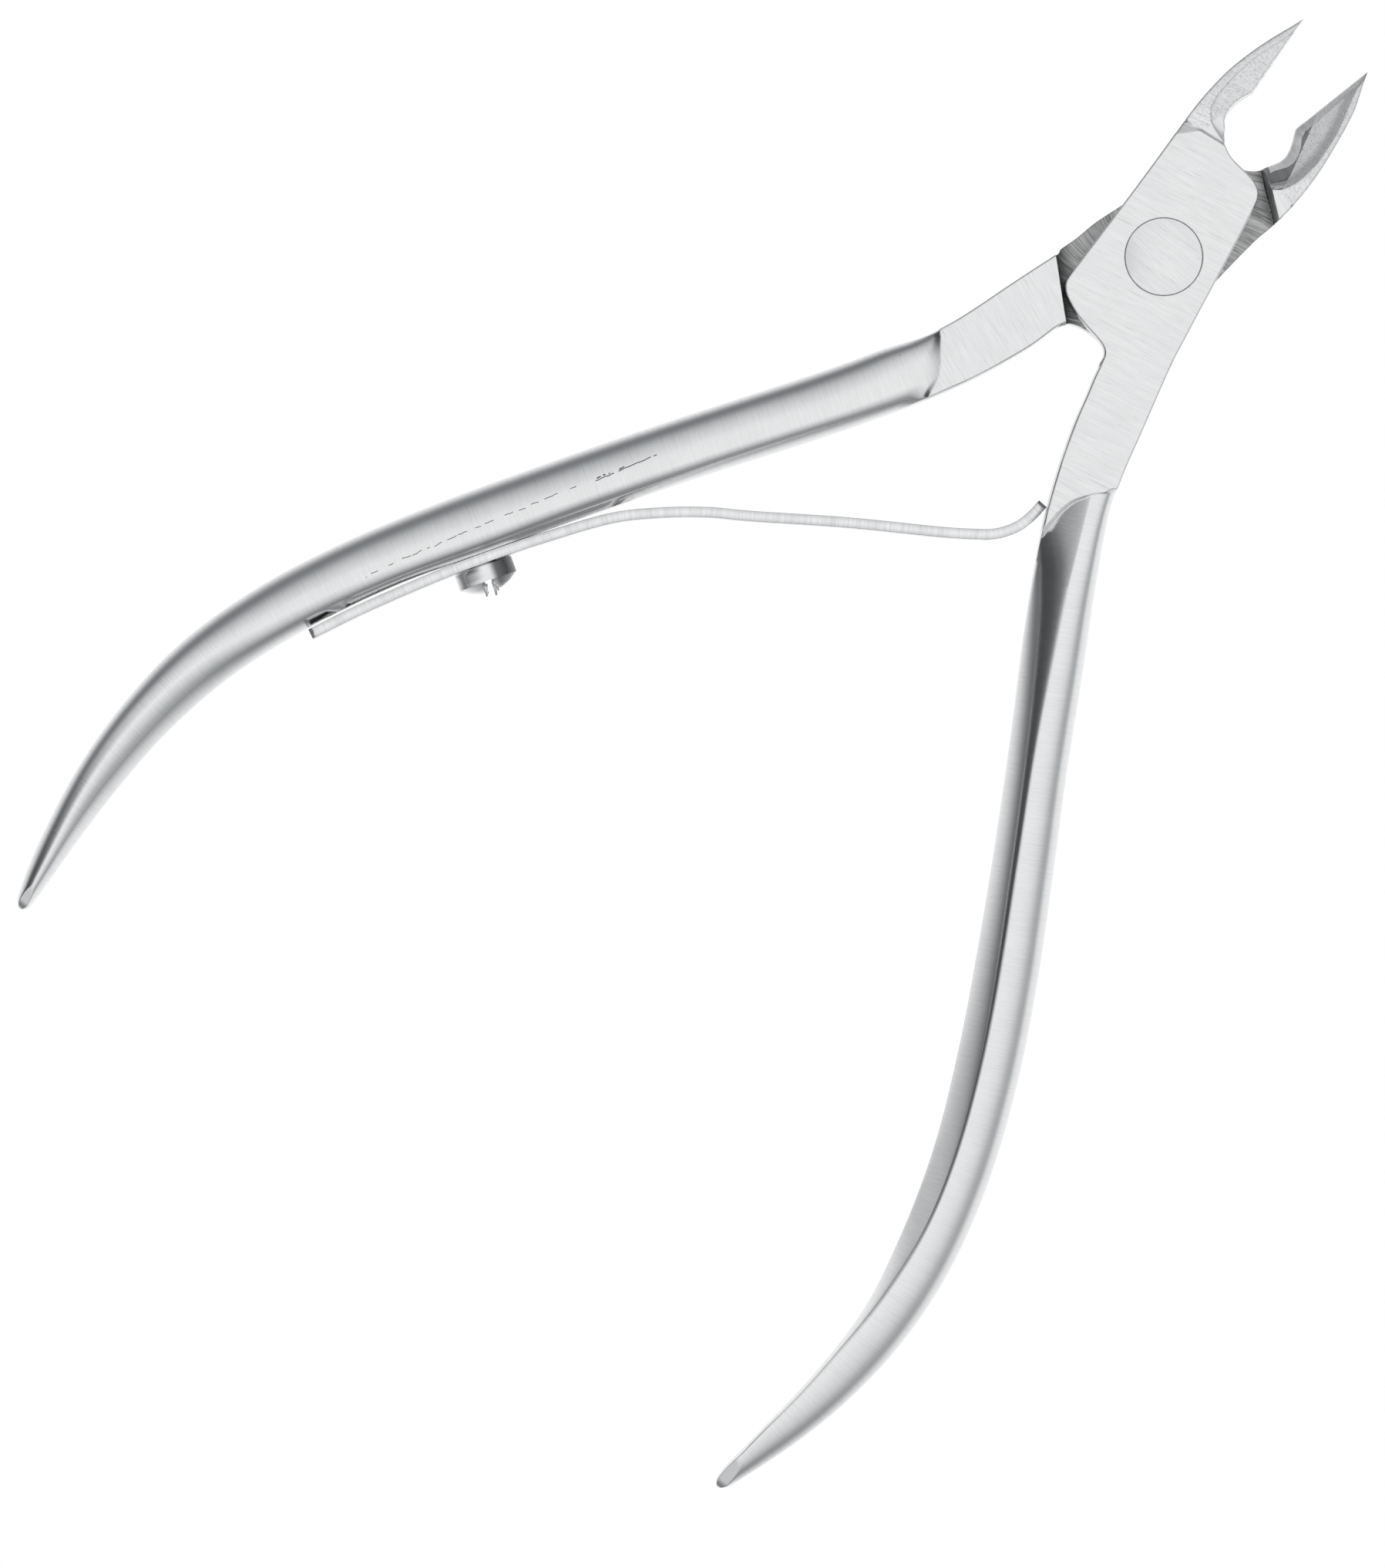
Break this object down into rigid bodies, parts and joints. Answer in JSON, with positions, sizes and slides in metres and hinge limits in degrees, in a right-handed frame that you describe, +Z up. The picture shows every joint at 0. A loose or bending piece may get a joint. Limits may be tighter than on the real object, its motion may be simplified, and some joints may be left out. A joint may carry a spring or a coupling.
{
  "type": "cuticle nipper",
  "caption": "Hand nipper with two crossed steel halves on a flush rivet, short hollow-ground cutting jaws, and a leaf spring that holds it open.",
  "frame": {"origin": "on the rivet's axis, at the lower face that the closed-lying nipper rests on", "axes": "+Y to the jaw tips, +Z up out of the resting face along the rivet, +X to the right handle"},
  "size_m": [0.0654, 0.0981, 0.0064],
  "materials": {
    "forged_steel": "fine brushed, polished handles",
    "spring_steel": "rolled strip, sheared edges",
    "screw_steel": "plated"
  },
  "bodies": {
    "back": {"back_half": "forged_steel", "pivot_rivet": "forged_steel", "spring_root": "spring_steel", "spring_screw": "screw_steel"},
    "front": {"front_half": "forged_steel"},
    "spring": {"spring_arm": "spring_steel"}
  },
  "joints": [
    {"name": "pivot", "type": "hinge", "parent": "back", "child": "front", "pos_m": [0, 0, 0.0032], "axis": [0, 0, -1], "range_deg": [0, 17], "stiffness_Nm_per_rad": 0.41, "springref_deg": -5.16, "deforming": ["spring_arm"]},
    {"name": "spring_bend", "type": "hinge", "parent": "back", "child": "spring", "pos_m": [-0.0172, -0.0359, 0.0032], "axis": [0, 0, 1], "range_deg": [0, 16.2]}
  ],
  "couplings": [
    {"joint": "spring_bend", "follows": "pivot", "ratio": 0.94}
  ]
}
